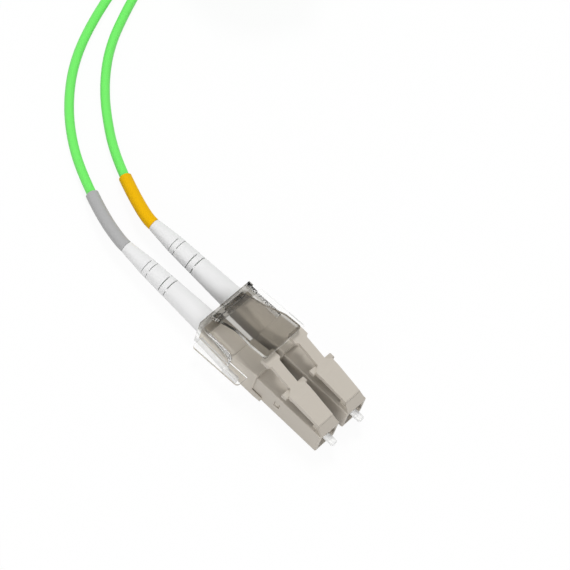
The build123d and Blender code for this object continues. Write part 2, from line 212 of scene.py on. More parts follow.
class Flow:
    """Output socket with arithmetic that makes Math nodes."""

    def __init__(self, graph: Graph, socket: bpy.types.NodeSocket) -> None:
        """Keep the socket and the graph it belongs to.

        Args:
            graph: Graph that makes further nodes.
            socket: Output socket this flow stands for.
        """
        self.graph = graph
        self.socket = socket

    def math(self, operation: str, first: Flow | float, second: Flow | float) -> Flow:
        """Make one Math node.

        Args:
            operation: Math operation.
            first: First operand.
            second: Second operand.

        Returns:
            The result's flow.
        """
        return self.graph.node("ShaderNodeMath", {0: first, 1: second}, operation=operation)

    def __add__(self, other: Flow | float) -> Flow:
        """Sum of the two."""
        return self.math("ADD", self, other)

    def __radd__(self, other: float) -> Flow:
        """Sum of the two."""
        return self.math("ADD", other, self)

    def __sub__(self, other: Flow | float) -> Flow:
        """Difference of the two."""
        return self.math("SUBTRACT", self, other)

    def __rsub__(self, other: float) -> Flow:
        """Difference of the two, the other way round."""
        return self.math("SUBTRACT", other, self)

    def __mul__(self, other: Flow | float) -> Flow:
        """Product of the two."""
        return self.math("MULTIPLY", self, other)

    def __rmul__(self, other: float) -> Flow:
        """Product of the two."""
        return self.math("MULTIPLY", other, self)

    def sibling(self, name: str) -> Flow:
        """Another output of the same node."""
        return Flow(self.graph, self.socket.node.outputs[name])


class Graph:
    """Node tree with one method that makes every node."""

    def __init__(self, tree: bpy.types.NodeTree) -> None:
        """Empty the tree.

        Args:
            tree: Tree to fill.
        """
        self.tree = tree
        tree.nodes.clear()

    def node(
        self, kind: str, inputs: dict | None = None, output: int | str = 0, **settings: object
    ) -> Flow:
        """Make a node, set it up and link it.

        Args:
            kind: Node type name.
            inputs: Input socket names or numbers with a flow or a constant for each.
            output: Name or number of the output to return.
            **settings: Properties of the node.

        Returns:
            Flow of the chosen output.
        """
        made = self.tree.nodes.new(kind)
        for name, value in settings.items():
            setattr(made, name, value)
        for key, value in (inputs or {}).items():
            if isinstance(value, Flow):
                self.tree.links.new(value.socket, made.inputs[key])
            else:
                made.inputs[key].default_value = value
        socket = made.outputs[output] if len(made.outputs) else None
        return Flow(self, socket)

    def blend(self, share: Flow, first: Flow | Shade, second: Flow | Shade) -> Flow:
        """Mix two colours.

        Args:
            share: Share of the second colour.
            first: First colour.
            second: Second colour.

        Returns:
            Colour flow.
        """
        sockets = {0: share, 6: first, 7: second}
        return self.node("ShaderNodeMix", sockets, output=2, data_type="RGBA")

    def ramp(self, value: Flow, start: float, end: float, low: float = 0.0, high: float = 1.0) -> Flow:
        """Map a value from one range to another, held at both ends.

        Args:
            value: Value to map.
            start: Value that gives the low result.
            end: Value that gives the high result.
            low: Low result.
            high: High result.

        Returns:
            Result flow.
        """
        sockets = {"Value": value, "From Min": start, "From Max": end, "To Min": low, "To Max": high}
        return self.node("ShaderNodeMapRange", sockets)


class MaterialBook:
    """Makes and keeps one procedural material for each finish."""

    def __init__(self, finishes: tuple[Finish, ...], mix: DetailMix) -> None:
        """Make every material.

        Args:
            finishes: Finishes to make.
            mix: How their fine detail is mixed.
        """
        self.mix = mix
        self.materials = {finish.slot: self._make(finish) for finish in finishes}

    def _detail(self, graph: Graph, finish: Finish) -> Flow:
        """Fine height detail of a finish, from 0 to 1.

        Args:
            graph: Graph of the material.
            finish: Finish being made.

        Returns:
            Height flow.
        """
        mix = self.mix
        place = graph.node("ShaderNodeTexCoord", output="Object")
        stretch = STRETCHES.get(finish.texture, EVEN)
        mapped = graph.node("ShaderNodeMapping", {"Vector": place, "Scale": stretch})
        scale = 1.0 / (finish.grain * MM)
        fine = graph.node("ShaderNodeTexNoise", {
            "Vector": mapped,
            "Scale": scale,
            "Detail": mix.fine_octaves,
            "Roughness": mix.fine_roughness,
        })
        broad = graph.node("ShaderNodeTexNoise", {
            "Vector": mapped,
            "Scale": scale * mix.broad_scale,
            "Detail": mix.broad_octaves,
        })
        return fine * mix.fine_share + broad * (1.0 - mix.fine_share)

    def _above(self, graph: Graph, height: float, fade: float) -> Flow:
        """Mask of what lies above a height.

        Args:
            graph: Graph of the material.
            height: Height up to which the mask is 0, in millimetres.
            fade: Height over which it rises to 1, in millimetres.

        Returns:
            Mask flow.
        """
        place = graph.node("ShaderNodeTexCoord", output="Object")
        level = graph.node("ShaderNodeSeparateXYZ", {"Vector": place}, output="Z")
        return graph.ramp(level, height * MM, (height + fade) * MM)

    def _add_painted_shade(self, graph: Graph, painted_shade: PaintedShade, plain: Flow) -> Flow:
        """Colour of a clear piece whose upper part is tinted darker as painted shade.

        Args:
            graph: Graph of the material.
            painted_shade: Painted shade of the upper part.
            plain: Colour of the rest.

        Returns:
            Colour flow.
        """
        share = self._above(graph, painted_shade.height, painted_shade.fade)
        return graph.blend(share, plain, (*painted_shade.color, 1.0))

    def _milky(self, graph: Graph, foot: MilkyFoot, color: Color, clear: Flow) -> Flow:
        """Surface of a clear piece whose lowest part is milky.

        Args:
            graph: Graph of the material.
            foot: The milky part.
            color: Linear colour of the milk.
            clear: Surface of the rest.

        Returns:
            Surface flow.
        """
        milk = graph.node(
            "ShaderNodeBsdfPrincipled", {"Base Color": (*color, 1.0), "Roughness": foot.roughness}
        )
        share = (1.0 - foot.share) + foot.share * self._above(graph, foot.height, foot.fade)
        return graph.node("ShaderNodeMixShader", {0: share, 1: milk, 2: clear})

    def _make(self, finish: Finish) -> bpy.types.Material:
        """Make the material of one finish.

        Args:
            finish: Finish to make.

        Returns:
            The material.
        """
        material = bpy.data.materials.new(finish.slot)
        material.use_nodes = True
        graph = Graph(material.node_tree)
        detail = self._detail(graph, finish)
        low = tuple(channel * (1.0 - finish.variation) for channel in finish.color)
        high = tuple(min(1.0, channel * (1.0 + finish.variation)) for channel in finish.color)
        color = graph.blend(detail, (*low, 1.0), (*high, 1.0))
        # Painted shade: a clear piece's upper part is tinted darker for the shadow on the parts seen
        # through it.
        if finish.painted_shade is not None:
            color = self._add_painted_shade(graph, finish.painted_shade, color)
        roughness = finish.roughness + (detail - 0.5) * self.mix.gloss_swing
        normal = graph.node("ShaderNodeBump", {
            "Strength": self.mix.bump_strength,
            "Distance": finish.bump * MM,
            "Height": detail,
        })
        surface = graph.node("ShaderNodeBsdfPrincipled", {
            "Base Color": color,
            "Roughness": roughness,
            "Metallic": finish.metallic,
            "Coat Weight": finish.coat,
            "Transmission Weight": finish.clear,
            "IOR": finish.refraction,
            "Specular IOR Level": finish.shine,
            "Normal": normal,
        })
        if finish.foot is not None:
            surface = self._milky(graph, finish.foot, finish.color, surface)
        graph.node("ShaderNodeOutputMaterial", {"Surface": surface})
        LOG.info("material %s", finish.slot)
        return material


@dataclass(frozen=True)
class Coil:
    """Wound length of the pair of cords.

    Attributes:
        radius: Radius of the outermost turn, in millimetres.
        turns: Turns in each layer.
        layers: Layers of paired turns.
        steps: Spline points in each turn.
        lift: Height of the lowest cord's middle, in millimetres.
        climb: Share of a turn that a cord's climb takes before and after it changes layer.
    """

    radius: float = 12.2
    turns: int = 4
    layers: int = 4
    steps: int = 16
    lift: float = 1.2
    climb: float = 0.25


@dataclass(frozen=True)
class CordRun:
    """One cord from its crimp to the end of the coil.

    Attributes:
        name: Node name of the cord.
        corners: Route corners in millimetres, from the crimp to the coil.
        coil_height: Height of this cord above the lower one in the coil, in millimetres.
        sleeve_slot: Material slot of the sleeve on this cord.
        sleeve_length: Length of that sleeve, in millimetres.
    """

    name: str
    corners: tuple[Point, ...]
    coil_height: float
    sleeve_slot: str
    sleeve_length: float


RUNS: tuple[CordRun, ...] = (
    CordRun("cord_a", (
        (-9.1, -3.125, 2.5), (-16.0, -3.125, 2.5), (-22.4, -3.125, 2.5), (-24.4, -3.125, 2.5),
        (-28.9, -2.0, 2.15), (-34.6, 0.4, 1.35), (-39.6, 2.85, 0.85), (-43.2, 5.1, 0.8),
        (-46.5, 7.7, 0.8), (-49.5, 10.7, 0.8), (-52.3, 14.2, 0.8), (-54.8, 18.4, 0.8),
        (-56.9, 23.3, 0.8), (-58.7, 28.6, 0.8), (-60.3, 34.4, 0.8), (-62.2, 41.6, 0.8),
        (-64.1, 49.7, 1.0),
    ), 0.0, "sleeve_grey", 11.2),
    CordRun("cord_b", (
        (-9.1, 3.125, 2.5), (-16.0, 3.125, 2.5), (-22.4, 3.125, 2.5), (-24.4, 3.125, 2.5),
        (-28.6, 4.55, 2.15), (-34.0, 7.0, 1.35), (-38.4, 9.5, 0.85), (-41.9, 12.0, 0.8),
        (-45.0, 14.5, 0.8), (-47.8, 17.3, 0.8), (-50.4, 20.5, 0.8), (-52.6, 24.1, 0.8),
        (-54.4, 28.1, 0.8), (-56.2, 32.6, 0.8), (-58.2, 38.3, 0.8), (-60.9, 45.0, 1.3),
        (-63.4, 51.4, 2.6),
    ), 1.63, "sleeve_yellow", 10.0),
)


@dataclass(frozen=True)
class CordSizes:
    """Sizes of the cords.

    Attributes:
        diameter: Outer diameter, in millimetres.
        length: Stated length, in metres; not used.
        exit_x: Where the cord leaves its boot, in millimetres.
        coil_start: Where the first turn starts, in millimetres.
        sleeve_outer: Outer diameter of a sleeve, in millimetres.
        sleeve_bore: Bore of a sleeve, in millimetres.
        sleeve_edge: Rounding of a sleeve's ends, in millimetres.
        fineness: Steps between two spline points of a cord.
        sleeve_fineness: Steps between two spline points under a sleeve.
        roundness: Bevel steps round a cord's section.
    """

    diameter: float = 1.6
    length: float = 1.0
    exit_x: float = -23.0
    coil_start: tuple[float, float] = (-65.3, 57.6)
    sleeve_outer: float = 2.15
    sleeve_bore: float = 1.63
    sleeve_edge: float = 0.06
    fineness: int = 5
    sleeve_fineness: int = 12
    roundness: int = 6


@dataclass(frozen=True)
class Ring:
    """One circle of a ring surface.

    Attributes:
        middle: Centre, in millimetres.
        side: Unit vector to one side in the circle's plane.
        up: Unit vector upwards in the circle's plane.
        radius: Radius, in millimetres.
    """

    middle: Vector
    side: Vector
    up: Vector
    radius: float


class RingMesher:
    """Makes closed surfaces from loops of circles and hands them to the frame."""

    def __init__(self, book: MaterialBook, facets: int = 72, sharp: float = 35.0) -> None:
        """Keep what the surfaces share.

        Args:
            book: Materials.
            facets: Steps round each circle.
            sharp: Angle past which an edge stays sharp, in degrees.
        """
        self.book = book
        self.facets = facets
        self.sharp = math.radians(sharp)

    def turned(self, outline: list[tuple[float, float]], axis: Point) -> list[Ring]:
        """Rings of a shape turned about a line along X.

        Args:
            outline: Distance behind the axis point and radius of each circle, in millimetres.
            axis: Point on the axis, in millimetres.

        Returns:
            The rings in the outline's order.
        """
        side = Vector((0, 1, 0))
        up = Vector((0, 0, 1))
        start = Vector(axis)
        return [Ring(start - Vector((station, 0, 0)), side, up, radius) for station, radius in outline]

    def make(
        self, name: str, loops: list[list[Ring]], slot: str, body: str, node: str
    ) -> bpy.types.Object:
        """Make a piece of one or more closed loops of rings.

        Args:
            name: Name of the piece.
            loops: Rings of each closed surface.
            slot: Material slot.
            body: Body the piece rides on.
            node: CAD node the piece stands for.

        Returns:
            The piece.
        """
        vertices: list[Vector] = []
        faces: list[tuple[int, ...]] = []
        for rings in loops:
            base = len(vertices)
            count = len(rings)
            for step in range(self.facets):
                angle = 2.0 * math.pi * step / self.facets
                for ring in rings:
                    arm = ring.side * math.sin(angle) + ring.up * math.cos(angle)
                    vertices.append((ring.middle + arm * ring.radius) * MM)
            for step in range(self.facets):
                near = base + step * count
                far = base + (step + 1) % self.facets * count
                for corner in range(count):
                    after = (corner + 1) % count
                    faces.append((near + corner, far + corner, far + after, near + after))
        mesh = bpy.data.meshes.new(name)
        mesh.from_pydata(vertices, [], faces)
        mesh.shade_smooth()
        mesh.set_sharp_from_angle(angle=self.sharp)
        mesh.materials.append(self.book.materials[slot])
        piece = bpy.data.objects.new(name, mesh)
        bpy.context.scene.collection.objects.link(piece)
        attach(piece, body)
        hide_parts(node)
        LOG.info("%s: %d faces", name, len(faces))
        return piece


class CordMaker:
    """Makes the cords as single splines that run on into the coil, and their sleeves."""

    def __init__(self, sizes: CordSizes, coil: Coil, book: MaterialBook, mesher: RingMesher) -> None:
        """Keep what the cords share.

        Args:
            sizes: Sizes of the cords.
            coil: Shape of the coil.
            book: Materials.
            mesher: Maker of the sleeves' surfaces.
        """
        self.sizes = sizes
        self.coil = coil
        self.book = book
        self.mesher = mesher

    def coil_points(self, height: float) -> list[Point]:
        """Spline points of the coil for one cord.

        Args:
            height: Height above the lower cord, in millimetres.

        Returns:
            Points in millimetres.
        """
        coil = self.coil
        middle_x = self.sizes.coil_start[0] + coil.radius
        middle_y = self.sizes.coil_start[1]
        # A spline of order 3 runs inside its points, at this share of their radius.
        spread = (3.0 + math.cos(2.0 * math.pi / coil.steps)) / 4.0
        points = []
        for step in range(coil.turns * coil.layers * coil.steps + 1):
            turn = step / coil.steps
            layer = min(int(turn // coil.turns), coil.layers - 1)
            along = turn - layer * coil.turns
            inward = along if layer % 2 == 0 else coil.turns - along
            radius = (coil.radius - inward * self.sizes.diameter) / spread
            rise = layer
            if layer < coil.layers - 1:
                rise += max(0.0, 1.0 - (coil.turns - along) / coil.climb) / 2
            if layer > 0:
                rise -= max(0.0, 1.0 - along / coil.climb) / 2
            angle = math.pi - 2.0 * math.pi * turn
            x = middle_x + radius * math.cos(angle)
            y = middle_y + radius * math.sin(angle)
            z = coil.lift + height + rise * 2.0 * self.sizes.diameter
            points.append((x, y, z))
        return points

    def line(self, name: str, points: list[Point], fineness: int) -> bpy.types.Object:
        """Make the smooth line along a route.

        Args:
            name: Name of the curve object.
            points: Control points, in millimetres.
            fineness: Steps between two points.

        Returns:
            The curve object, with no thickness yet.
        """
        curve = bpy.data.curves.new(name, "CURVE")
        curve.dimensions = "3D"
        curve.resolution_u = fineness
        spline = curve.splines.new("NURBS")
        spline.points.add(len(points) - 1)
        for target, point in zip(spline.points, points):
            target.co = (point[0] * MM, point[1] * MM, point[2] * MM, 1.0)
        spline.order_u = 3
        spline.use_endpoint_u = True
        line = bpy.data.objects.new(name, curve)
        bpy.context.scene.collection.objects.link(line)
        return line

    def make(self, run: CordRun) -> bpy.types.Object:
        """Make one cord.

        Args:
            run: Cord to make.

        Returns:
            The cord's curve object.
        """
        points = [*run.corners, *self.coil_points(run.coil_height)]
        cord = self.line(run.name + "_jacket", points, self.sizes.fineness)
        curve = cord.data
        curve.bevel_depth = self.sizes.diameter / 2 * MM
        curve.bevel_resolution = self.sizes.roundness
        curve.use_fill_caps = True
        curve.materials.append(self.book.materials["cord_green"])
        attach(cord, "plug")
        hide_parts(run.name)
        LOG.info("%s: %d spline points", cord.name, len(points))
        return cord

    def sleeve_path(self, run: CordRun) -> list[Vector]:
        """Points of a cord's smooth line under its sleeve.

        Args:
            run: Cord the sleeve is on.

        Returns:
            Points in millimetres, read from the cord's spline.
        """
        line = self.line("line", list(run.corners), self.sizes.sleeve_fineness)
        graph = bpy.context.evaluated_depsgraph_get()
        mesh = bpy.data.meshes.new_from_object(line.evaluated_get(graph))
        spots = [vertex.co / MM for vertex in mesh.vertices]
        bpy.data.meshes.remove(mesh)
        bpy.data.curves.remove(line.data)
        first = next(index for index, spot in enumerate(spots) if spot.x <= self.sizes.exit_x)
        share = (self.sizes.exit_x - spots[first - 1].x) / (spots[first].x - spots[first - 1].x)
        chosen = [spots[first - 1].lerp(spots[first], share)]
        left = run.sleeve_length
        for spot in spots[first:]:
            gap = (spot - chosen[-1]).length
            if gap >= left:
                chosen.append(chosen[-1].lerp(spot, left / gap))
                break
            chosen.append(spot)
            left -= gap
        return chosen

    def inside_end(self, end: Vector, inner: Vector) -> Vector:
        """Spot one edge rounding inside a sleeve's end, half-way to the next spot at most."""
        return end.lerp(inner, min(0.5, self.sizes.sleeve_edge / (inner - end).length))

    def make_sleeve(self, run: CordRun) -> bpy.types.Object:
        """Make the sleeve on one cord.

        Args:
            run: Cord the sleeve is on.

        Returns:
            The sleeve.
        """
        size = self.sizes
        path = self.sleeve_path(run)
        outer = size.sleeve_outer / 2
        path.insert(1, self.inside_end(path[0], path[1]))
        path.insert(-1, self.inside_end(path[-1], path[-2]))
        rings = []
        for index, spot in enumerate(path):
            travel = path[min(index + 1, len(path) - 1)] - path[max(index - 1, 0)]
            side = travel.cross(Vector((0, 0, 1))).normalized()
            up = side.cross(travel).normalized()
            last = index in (0, len(path) - 1)
            rings.append(Ring(spot, side, up, outer - size.sleeve_edge if last else outer))
        bore = size.sleeve_bore / 2
        inside = [Ring(ring.middle, ring.side, ring.up, bore) for ring in reversed(rings)]
        letter = run.name[-1]
        return self.mesher.make(
            "sleeve_" + letter, [rings + inside], run.sleeve_slot, "plug", "id_sleeve_" + letter
        )


class NodeGroupMaker:
    """Builds Geometry Nodes groups and turns their results into plain meshes."""

    def blocks_on_points(self) -> tuple[bpy.types.NodeTree, dict[str, str]]:
        """Group that sets a block on every vertex, turned by the vertex's turn attribute.

        Returns:
            The group and its input identifiers by name.
        """
        tree = bpy.data.node_groups.new("blocks_on_points", "GeometryNodeTree")
        face = tree.interface
        face.new_socket("Geometry", in_out="INPUT", socket_type="NodeSocketGeometry")
        size = face.new_socket("Size", in_out="INPUT", socket_type="NodeSocketVector")
        material = face.new_socket("Material", in_out="INPUT", socket_type="NodeSocketMaterial")
        face.new_socket("Geometry", in_out="OUTPUT", socket_type="NodeSocketGeometry")
        graph = Graph(tree)
        points = graph.node("NodeGroupInput", output="Geometry")
        finish = points.sibling("Material")
        block = graph.node("GeometryNodeMeshCube", {"Size": points.sibling("Size")})
        turn = graph.node("GeometryNodeInputNamedAttribute", {"Name": "turn"}, data_type="FLOAT_VECTOR")
        placed = graph.node(
            "GeometryNodeInstanceOnPoints", {"Points": points, "Instance": block, "Rotation": turn}
        )
        real = graph.node("GeometryNodeRealizeInstances", {"Geometry": placed})
        dressed = graph.node("GeometryNodeSetMaterial", {"Geometry": real, "Material": finish})
        graph.node("NodeGroupOutput", {"Geometry": dressed})
        return tree, {"Size": size.identifier, "Material": material.identifier}

    def settle(
        self, obj: bpy.types.Object, tree: bpy.types.NodeTree, values: dict[str, object]
    ) -> None:
        """Run a group on an object and keep the result as its mesh.

        Args:
            obj: Object whose mesh holds the points.
            tree: Group to run.
            values: Input values by identifier.
        """
        modifier = obj.modifiers.new(tree.name, "NODES")
        modifier.node_group = tree
        for identifier, value in values.items():
            modifier[identifier] = value
        graph = bpy.context.evaluated_depsgraph_get()
        mesh = bpy.data.meshes.new_from_object(obj.evaluated_get(graph))
        obj.modifiers.remove(modifier)
        obj.data = mesh


@dataclass(frozen=True)
class BootSizes:
    """Sizes of a boot, in millimetres; stations run back from the front face.

    Attributes:
        front_x: X of the plug's front face.
        pitch: Distance between the two connectors.
        axis_height: Height of the connector axis.
        start: Station of the boot's front end.
        waist: Station where the taper steepens.
        end: Station of the boot's rear end.
        radii: Outer radius at the front end, the waist and the rear end.
        bore: Radius of the cord bore.
        cavity: Radius of the crimp cavity.
        cavity_end: Station where the cavity ends.
        slots: Distance from the rear end, bridge angle and width of each slot.
        edge: Bevel of the slots' edges.
        rear_edge: Distance from the rear end and loss of radius at each point of its rounding.
        bridge: Width of a bridge across a slot.
        bridge_depth: Depth of a bridge.
        bridge_sink: How far a bridge lies below the surface.
        bridge_overlap: How much longer a bridge is than the widest slot.
    """

    front_x: float = 21.3
    pitch: float = 6.25
    axis_height: float = 2.5
    start: float = 25.6
    waist: float = 39.5
    end: float = 44.3
    radii: Point = (2.1, 1.525, 1.1)
    bore: float = 0.83
    cavity: float = 1.6
    cavity_end: float = 30.4
    slots: tuple[Point, ...] = (
        (9.95, 50.0, 0.18), (8.8, -32.0, 0.18), (5.8, 50.0, 0.12), (4.8, -32.0, 0.12),
    )
    edge: float = 0.03
    rear_edge: tuple[tuple[float, float], ...] = ((0.25, 0.0), (0.08, 0.06), (0.0, 0.2))
    bridge: float = 0.5
    bridge_depth: float = 0.5
    bridge_sink: float = 0.015
    bridge_overlap: float = 0.04


class BootMaker:
    """Makes the smooth boots with their bridged slots."""

    def __init__(self, sizes: BootSizes, mesher: RingMesher, groups: NodeGroupMaker) -> None:
        """Keep what the boots share.

        Args:
            sizes: Sizes of a boot.
            mesher: Maker of the boots' surfaces.
            groups: Geometry Nodes helper.
        """
        self.sizes = sizes
        self.mesher = mesher
        self.book = mesher.book
        self.groups = groups
        self.tree, self.inputs = groups.blocks_on_points()

    def outer(self, station: float) -> float:
        """Outer radius at a station.

        Args:
            station: Station in millimetres.

        Returns:
            Radius in millimetres.
        """
        size = self.sizes
        big, waist, small = size.radii
        if station < size.waist:
            return big + (waist - big) * (station - size.start) / (size.waist - size.start)
        taper_end = size.end - size.rear_edge[0][0]
        return waist + (small - waist) * (station - size.waist) / (taper_end - size.waist)

    def sections(self) -> list[list[tuple[float, float]]]:
        """Closed (station, radius) outlines of the rings between the slots.

        Returns:
            One outline for each ring, from the front to the rear.
        """
        size = self.sizes
        edge = size.edge
        starts = [size.start, *[size.end - from_end + width / 2 for from_end, _, width in size.slots]]
        ends = [*[size.end - from_end - width / 2 for from_end, _, width in size.slots], size.end]
        outlines = []
        for first, last in zip(starts, ends):
            outline = [(first, self.outer(first) - edge), (first + edge, self.outer(first))]
            if first < size.waist < last:
                outline.append((size.waist, self.outer(size.waist)))
            if last == size.end:
                small = size.radii[2]
                outline += [(last - from_end, small - loss) for from_end, loss in size.rear_edge]
            else:
                outline += [(last - edge, self.outer(last)), (last, self.outer(last) - edge)]
            outline.append((last, size.bore))
            if first == size.start:
                outline += [(size.cavity_end, size.bore), (size.cavity_end, size.cavity)]
                outline.append((first, size.cavity))
            else:
                outline.append((first, size.bore))
            outlines.append(outline)
        return outlines

    def make(self, side: str, y: float) -> bpy.types.Object:
        """Make one boot.

        Args:
            side: Letter of the connector.
            y: Y of the connector axis, in millimetres.

        Returns:
            The boot.
        """
        size = self.sizes
        axis = (size.front_x, y, size.axis_height)
        loops = [self.mesher.turned(outline, axis) for outline in self.sections()]
        boot = self.mesher.make("boot_shell_" + side, loops, "boot_white", "plug", "boot_" + side)
        self.make_bridges(side, y)
        return boot

    def make_bridges(self, side: str, y: float) -> bpy.types.Object:
        """Make the bridges across the slots of one boot.

        Args:
            side: Letter of the connector.
            y: Y of the connector axis, in millimetres.

        Returns:
            The bridges.
        """
        size = self.sizes
        depth = size.bridge_depth
        places: list[Point] = []
        turns: list[float] = []
        for from_end, angle, _ in size.slots:
            station = size.end - from_end
            middle = self.outer(station) - depth / 2 - size.bridge_sink
            for half_turn in (0.0, 180.0):
                tilt = math.radians(angle + half_turn)
                places.append((
                    (size.front_x - station) * MM,
                    (y - middle * math.sin(tilt)) * MM,
                    (size.axis_height + middle * math.cos(tilt)) * MM,
                ))
                turns += [tilt, 0.0, 0.0]
        mesh = bpy.data.meshes.new("boot_bridges_" + side)
        mesh.from_pydata(places, [], [])
        attribute = mesh.attributes.new("turn", "FLOAT_VECTOR", "POINT")
        attribute.data.foreach_set("vector", turns)
        bridges = bpy.data.objects.new("boot_bridges_" + side, mesh)
        bpy.context.scene.collection.objects.link(bridges)
        length = max(slot[2] for slot in size.slots) + size.bridge_overlap
        block = (length * MM, size.bridge * MM, depth * MM)
        self.groups.settle(bridges, self.tree, {
            self.inputs["Size"]: block,
            self.inputs["Material"]: self.book.materials["boot_white"],
        })
        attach(bridges, "plug")
        LOG.info("%s: %d faces", bridges.name, len(bridges.data.polygons))
        return bridges


@dataclass(frozen=True)
class FerruleSizes:
    """Sizes of a ferrule, in millimetres; stations run back from the plug's front face.

    Attributes:
        projection: How far the tip stands in front of the face.
        radius: Radius of the part that shows.
        bare_end: Station where the slimmer shank starts.
        shank: Radius of the shank.
        end: Station of the rear end.
        chamfer: Width of the bevel round the tip.
        dome: How far the polished tip bulges.
        dome_steps: Steps from the bore to the tip's edge.
        brow: How far back and how far out the rounding of the tip's edge ends.
        crown: Width of the rounding between the bevel and the side, on the bevel.
        edge: Width of the fine roundings along the side.
        bore: Radius of the fibre bore.
    """

    projection: float = 1.7
    radius: float = 0.625
    bare_end: float = 2.55
    shank: float = 0.45
    end: float = 4.8
    chamfer: float = 0.2
    dome: float = 0.02
    dome_steps: int = 5
    brow: tuple[float, float] = (0.05, 0.04)
    crown: float = 0.03
    edge: float = 0.02
    bore: float = 0.0625


class FerruleMaker:
    """Makes the smooth ferrules."""

    def __init__(self, sizes: FerruleSizes, mesher: RingMesher) -> None:
        """Keep what the ferrules share.

        Args:
            sizes: Sizes of a ferrule.
            mesher: Maker of the ferrules' surfaces.
        """
        self.sizes = sizes
        self.mesher = mesher

    def outline(self) -> list[tuple[float, float]]:
        """Closed (station, radius) outline of a ferrule.

        Returns:
            The outline, from the bore at the tip round to the bore at the rear.
        """
        size = self.sizes
        front = -size.projection
        bevel_end = front + size.chamfer
        flat = size.radius - size.chamfer
        points = []
        for step in range(size.dome_steps + 1):
            radius = size.bore + (flat - size.bore) * step / size.dome_steps
            points.append((front + size.dome * (radius / flat) ** 2, radius))
        return [
            *points,
            (front + size.brow[0], flat + size.brow[1]),
            (bevel_end - size.crown, size.radius - size.crown),
            (bevel_end + size.edge, size.radius),
            (size.bare_end - size.edge, size.radius),
            (size.bare_end, size.radius - size.edge),
            (size.bare_end, size.shank),
            (size.end, size.shank),
            (size.end, size.bore),
        ]

    def make(self, side: str, axis: Point) -> bpy.types.Object:
        """Make one ferrule.

        Args:
            side: Letter of the connector.
            axis: Point on the connector axis at the front face, in millimetres.

        Returns:
            The ferrule.
        """
        rings = self.mesher.turned(self.outline(), axis)
        return self.mesher.make(
            "ferrule_shell_" + side, [rings], "ceramic_white", "ferrule_unit_" + side, "ferrule_" + side
        )


@dataclass(frozen=True)
class CameraFit:
    """Camera that matches the photograph.

    Attributes:
        azimuth: Direction of the camera from the pivot, in degrees from +X.
        elevation: Height of the camera above the horizon, in degrees.
        roll: Turn about the line of sight, in degrees.
        scale: Pixels to a millimetre at the pivot.
        pivot: Point the fit turns about, in millimetres.
        pixel: Where the pivot lies in the picture.
        distance: Distance from the camera to the pivot, in millimetres.
        picture: Width and height of the picture, in pixels.
        sensor: Width of the sensor, in millimetres.
        reach: Nearest and farthest distance that shows, in metres.
    """

    azimuth: float = -64.528
    elevation: float = 60.26
    roll: float = 20.836
    scale: float = 6.371
    pivot: Point = (-0.7, 0.0, 2.5)
    pixel: tuple[float, float] = (239.997, 329.739)
    distance: float = 500.0
    picture: int = 570
    sensor: float = 36.0
    reach: tuple[float, float] = (0.01, 20.0)


@dataclass(frozen=True)
class Lamp:
    """One sun lamp.

    Attributes:
        name: Name of the lamp.
        energy: Strength of the light.
        spread: Angle the lamp fills, in degrees.
        travel: Direction the light travels.
        mirrored: Whether polished and clear surfaces show the lamp.
    """

    name: str
    energy: float
    spread: float
    travel: Point
    mirrored: bool


@dataclass(frozen=True)
class Surroundings:
    """Floor, sky and lamps.

    Attributes:
        floor_half: Half of the floor's width, in metres.
        shade_reach: How far off a piece may stand to shade the floor, in millimetres.
        shade_samples: Samples of that shade.
        gap: Distances from the middle between which the gap's shade fades out, in millimetres.
        openness: Open share of the sky that gives the weakest and the strongest glow.
        glow: Weakest and strongest share of the floor's own glow.
        dim: Grey of the floor where it only lights the object.
        sky: Strength of the sky where it only lights the object.
        lamps: The lamps.
        bounces: How often light may bounce or pass a surface.
    """

    floor_half: float = 1.5
    shade_reach: float = 3.0
    shade_samples: int = 8
    gap: tuple[float, float] = (1.0, 1.6)
    openness: tuple[float, float] = (0.12, 0.45)
    glow: tuple[float, float] = (0.5, 0.94)
    dim: float = 0.4
    sky: float = 0.52
    lamps: tuple[Lamp, ...] = (
        Lamp("key", 1.35, 18.0, (0.42, -0.4, -0.82), False),
        Lamp("fill", 1.75, 50.0, (-0.5, 0.85, -0.15), True),
    )
    bounces: int = 24


